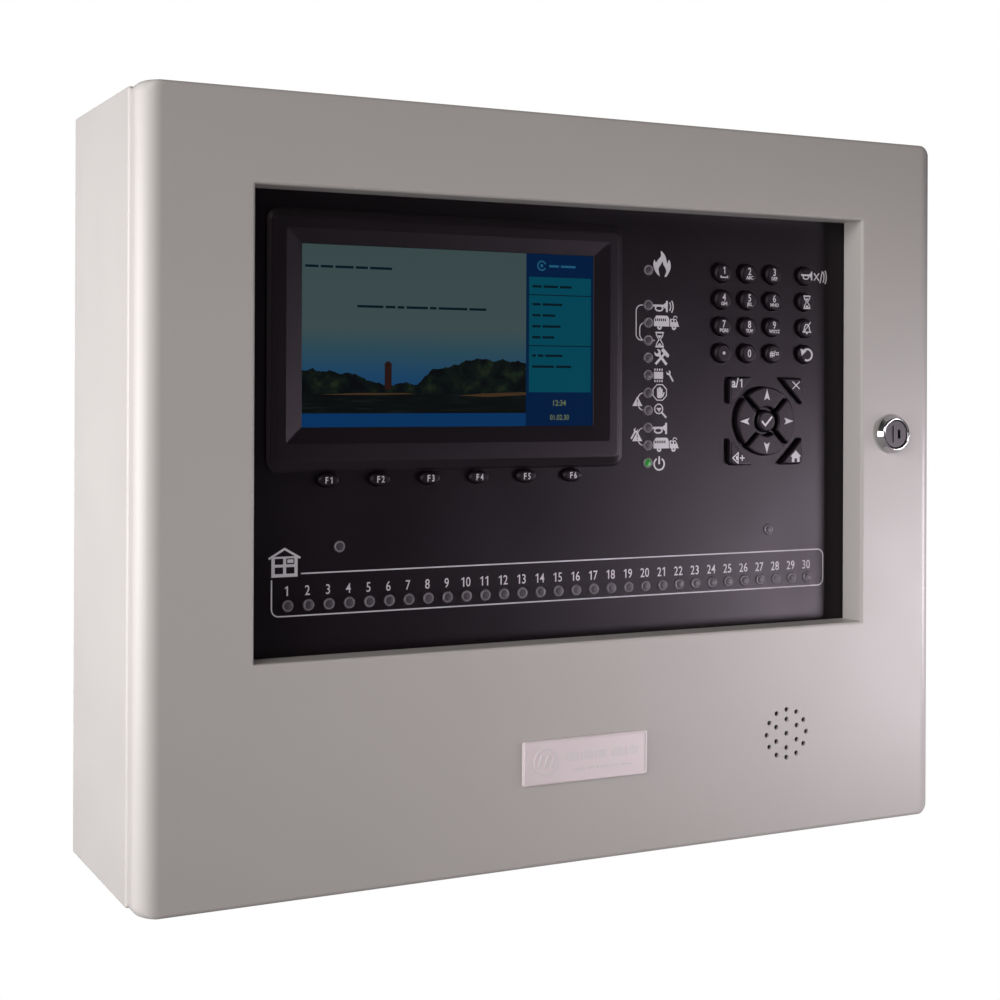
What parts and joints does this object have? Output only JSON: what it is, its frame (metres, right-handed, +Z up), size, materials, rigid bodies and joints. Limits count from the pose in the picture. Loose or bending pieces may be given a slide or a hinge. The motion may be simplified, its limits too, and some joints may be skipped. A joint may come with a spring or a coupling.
{
  "type": "fire alarm control panel",
  "caption": "Wall-hung sheet-steel fire alarm control panel: hinged locked door with a black fascia holding a colour display, push keys and rows of indicator lenses.",
  "frame": {"origin": "centre of the case's rear face, on the wall", "axes": "+X to the right across the front, +Y into the wall, +Z up; the door's front faces -Y"},
  "size_m": [0.436, 0.1343, 0.364],
  "materials": {
    "case_paint": "pale warm grey powder coat, satin, fine texture",
    "fascia_black": "black satin overlay printed in white",
    "frame_black": "moulded black plastic, fine grain",
    "screen_glass": "lit colour display behind smooth glass",
    "clear_lens": "clear moulded light pipe, unlit grey",
    "key_rubber": "black silicone rubber with white printed symbols",
    "circuit_board": "green solder mask",
    "badge_metal": "embossed satin silver plate",
    "black_plastic": "moulded black plastic",
    "lock_chrome": "bright chrome",
    "lock_steel": "dark nickel face",
    "zinc_steel": "zinc-plated steel",
    "battery_case": "dark grey ABS",
    "terminal_green": "green polyamide"
  },
  "bodies": {
    "case": {"back_box": "case_paint", "upper_hinge_arm": "zinc_steel", "lower_hinge_arm": "zinc_steel", "main_board": "circuit_board", "terminal_strip": "terminal_green", "power_supply": "zinc_steel", "battery_left": "battery_case", "battery_right": "battery_case", "battery_bracket": "zinc_steel", "mains_terminal_block": "black_plastic"},
    "door": {"door": "case_paint", "fascia_plate": "fascia_black", "display_frame": "frame_black", "lcd_panel": "screen_glass", "zone_light_pipes": "clear_lens", "status_light_pipes": "clear_lens", "left_lens": "clear_lens", "right_lens": "clear_lens", "keypad_board": "circuit_board", "badge_plate": "badge_metal", "sounder": "black_plastic", "lock_body": "lock_chrome", "lock_nut": "zinc_steel", "upper_hinge_bracket": "zinc_steel", "lower_hinge_bracket": "zinc_steel", "upper_hinge_pin": "zinc_steel", "lower_hinge_pin": "zinc_steel"},
    "lock": {"lock_plug": "lock_steel", "lock_cam": "zinc_steel"},
    "key_f1": {"key_f1": "key_rubber"},
    "key_f2": {"key_f2": "key_rubber"},
    "key_f3": {"key_f3": "key_rubber"},
    "key_f4": {"key_f4": "key_rubber"},
    "key_f5": {"key_f5": "key_rubber"},
    "key_f6": {"key_f6": "key_rubber"},
    "key_1": {"key_1": "key_rubber"},
    "key_2": {"key_2": "key_rubber"},
    "key_3": {"key_3": "key_rubber"},
    "key_4": {"key_4": "key_rubber"},
    "key_5": {"key_5": "key_rubber"},
    "key_6": {"key_6": "key_rubber"},
    "key_7": {"key_7": "key_rubber"},
    "key_8": {"key_8": "key_rubber"},
    "key_9": {"key_9": "key_rubber"},
    "key_star": {"key_star": "key_rubber"},
    "key_0": {"key_0": "key_rubber"},
    "key_hash": {"key_hash": "key_rubber"},
    "key_silence": {"key_silence": "key_rubber"},
    "key_delay": {"key_delay": "key_rubber"},
    "key_mute": {"key_mute": "key_rubber"},
    "key_reset": {"key_reset": "key_rubber"},
    "key_ok": {"key_ok": "key_rubber"},
    "key_right": {"key_right": "key_rubber"},
    "key_up": {"key_up": "key_rubber"},
    "key_left": {"key_left": "key_rubber"},
    "key_down": {"key_down": "key_rubber"},
    "key_mode": {"key_mode": "key_rubber"},
    "key_cancel": {"key_cancel": "key_rubber"},
    "key_volume": {"key_volume": "key_rubber"},
    "key_home": {"key_home": "key_rubber"}
  },
  "joints": [
    {"name": "door_hinge", "type": "hinge", "parent": "case", "child": "door", "pos_m": [-0.21, -0.122, 0], "axis": [0, 0, -1], "range_deg": [0, 110]},
    {"name": "lock_turn", "type": "hinge", "parent": "door", "child": "lock", "pos_m": [0.1888, -0.1075, 0.0252], "axis": [0, -1, 0], "range_deg": [0, 90]},
    {"name": "key_f1_press", "type": "slide", "parent": "door", "child": "key_f1", "axis": [0, 1, 0], "range_m": [0, 0.0012], "stiffness_N_per_m": 300},
    {"name": "key_f2_press", "type": "slide", "parent": "door", "child": "key_f2", "axis": [0, 1, 0], "range_m": [0, 0.0012], "stiffness_N_per_m": 300},
    {"name": "key_f3_press", "type": "slide", "parent": "door", "child": "key_f3", "axis": [0, 1, 0], "range_m": [0, 0.0012], "stiffness_N_per_m": 300},
    {"name": "key_f4_press", "type": "slide", "parent": "door", "child": "key_f4", "axis": [0, 1, 0], "range_m": [0, 0.0012], "stiffness_N_per_m": 300},
    {"name": "key_f5_press", "type": "slide", "parent": "door", "child": "key_f5", "axis": [0, 1, 0], "range_m": [0, 0.0012], "stiffness_N_per_m": 300},
    {"name": "key_f6_press", "type": "slide", "parent": "door", "child": "key_f6", "axis": [0, 1, 0], "range_m": [0, 0.0012], "stiffness_N_per_m": 300},
    {"name": "key_1_press", "type": "slide", "parent": "door", "child": "key_1", "axis": [0, 1, 0], "range_m": [0, 0.0012], "stiffness_N_per_m": 300},
    {"name": "key_2_press", "type": "slide", "parent": "door", "child": "key_2", "axis": [0, 1, 0], "range_m": [0, 0.0012], "stiffness_N_per_m": 300},
    {"name": "key_3_press", "type": "slide", "parent": "door", "child": "key_3", "axis": [0, 1, 0], "range_m": [0, 0.0012], "stiffness_N_per_m": 300},
    {"name": "key_4_press", "type": "slide", "parent": "door", "child": "key_4", "axis": [0, 1, 0], "range_m": [0, 0.0012], "stiffness_N_per_m": 300},
    {"name": "key_5_press", "type": "slide", "parent": "door", "child": "key_5", "axis": [0, 1, 0], "range_m": [0, 0.0012], "stiffness_N_per_m": 300},
    {"name": "key_6_press", "type": "slide", "parent": "door", "child": "key_6", "axis": [0, 1, 0], "range_m": [0, 0.0012], "stiffness_N_per_m": 300},
    {"name": "key_7_press", "type": "slide", "parent": "door", "child": "key_7", "axis": [0, 1, 0], "range_m": [0, 0.0012], "stiffness_N_per_m": 300},
    {"name": "key_8_press", "type": "slide", "parent": "door", "child": "key_8", "axis": [0, 1, 0], "range_m": [0, 0.0012], "stiffness_N_per_m": 300},
    {"name": "key_9_press", "type": "slide", "parent": "door", "child": "key_9", "axis": [0, 1, 0], "range_m": [0, 0.0012], "stiffness_N_per_m": 300},
    {"name": "key_star_press", "type": "slide", "parent": "door", "child": "key_star", "axis": [0, 1, 0], "range_m": [0, 0.0012], "stiffness_N_per_m": 300},
    {"name": "key_0_press", "type": "slide", "parent": "door", "child": "key_0", "axis": [0, 1, 0], "range_m": [0, 0.0012], "stiffness_N_per_m": 300},
    {"name": "key_hash_press", "type": "slide", "parent": "door", "child": "key_hash", "axis": [0, 1, 0], "range_m": [0, 0.0012], "stiffness_N_per_m": 300},
    {"name": "key_silence_press", "type": "slide", "parent": "door", "child": "key_silence", "axis": [0, 1, 0], "range_m": [0, 0.0012], "stiffness_N_per_m": 300},
    {"name": "key_delay_press", "type": "slide", "parent": "door", "child": "key_delay", "axis": [0, 1, 0], "range_m": [0, 0.0012], "stiffness_N_per_m": 300},
    {"name": "key_mute_press", "type": "slide", "parent": "door", "child": "key_mute", "axis": [0, 1, 0], "range_m": [0, 0.0012], "stiffness_N_per_m": 300},
    {"name": "key_reset_press", "type": "slide", "parent": "door", "child": "key_reset", "axis": [0, 1, 0], "range_m": [0, 0.0012], "stiffness_N_per_m": 300},
    {"name": "key_ok_press", "type": "slide", "parent": "door", "child": "key_ok", "axis": [0, 1, 0], "range_m": [0, 0.0012], "stiffness_N_per_m": 300},
    {"name": "key_right_press", "type": "slide", "parent": "door", "child": "key_right", "axis": [0, 1, 0], "range_m": [0, 0.0012], "stiffness_N_per_m": 300},
    {"name": "key_up_press", "type": "slide", "parent": "door", "child": "key_up", "axis": [0, 1, 0], "range_m": [0, 0.0012], "stiffness_N_per_m": 300},
    {"name": "key_left_press", "type": "slide", "parent": "door", "child": "key_left", "axis": [0, 1, 0], "range_m": [0, 0.0012], "stiffness_N_per_m": 300},
    {"name": "key_down_press", "type": "slide", "parent": "door", "child": "key_down", "axis": [0, 1, 0], "range_m": [0, 0.0012], "stiffness_N_per_m": 300},
    {"name": "key_mode_press", "type": "slide", "parent": "door", "child": "key_mode", "axis": [0, 1, 0], "range_m": [0, 0.0012], "stiffness_N_per_m": 300},
    {"name": "key_cancel_press", "type": "slide", "parent": "door", "child": "key_cancel", "axis": [0, 1, 0], "range_m": [0, 0.0012], "stiffness_N_per_m": 300},
    {"name": "key_volume_press", "type": "slide", "parent": "door", "child": "key_volume", "axis": [0, 1, 0], "range_m": [0, 0.0012], "stiffness_N_per_m": 300},
    {"name": "key_home_press", "type": "slide", "parent": "door", "child": "key_home", "axis": [0, 1, 0], "range_m": [0, 0.0012], "stiffness_N_per_m": 300}
  ]
}
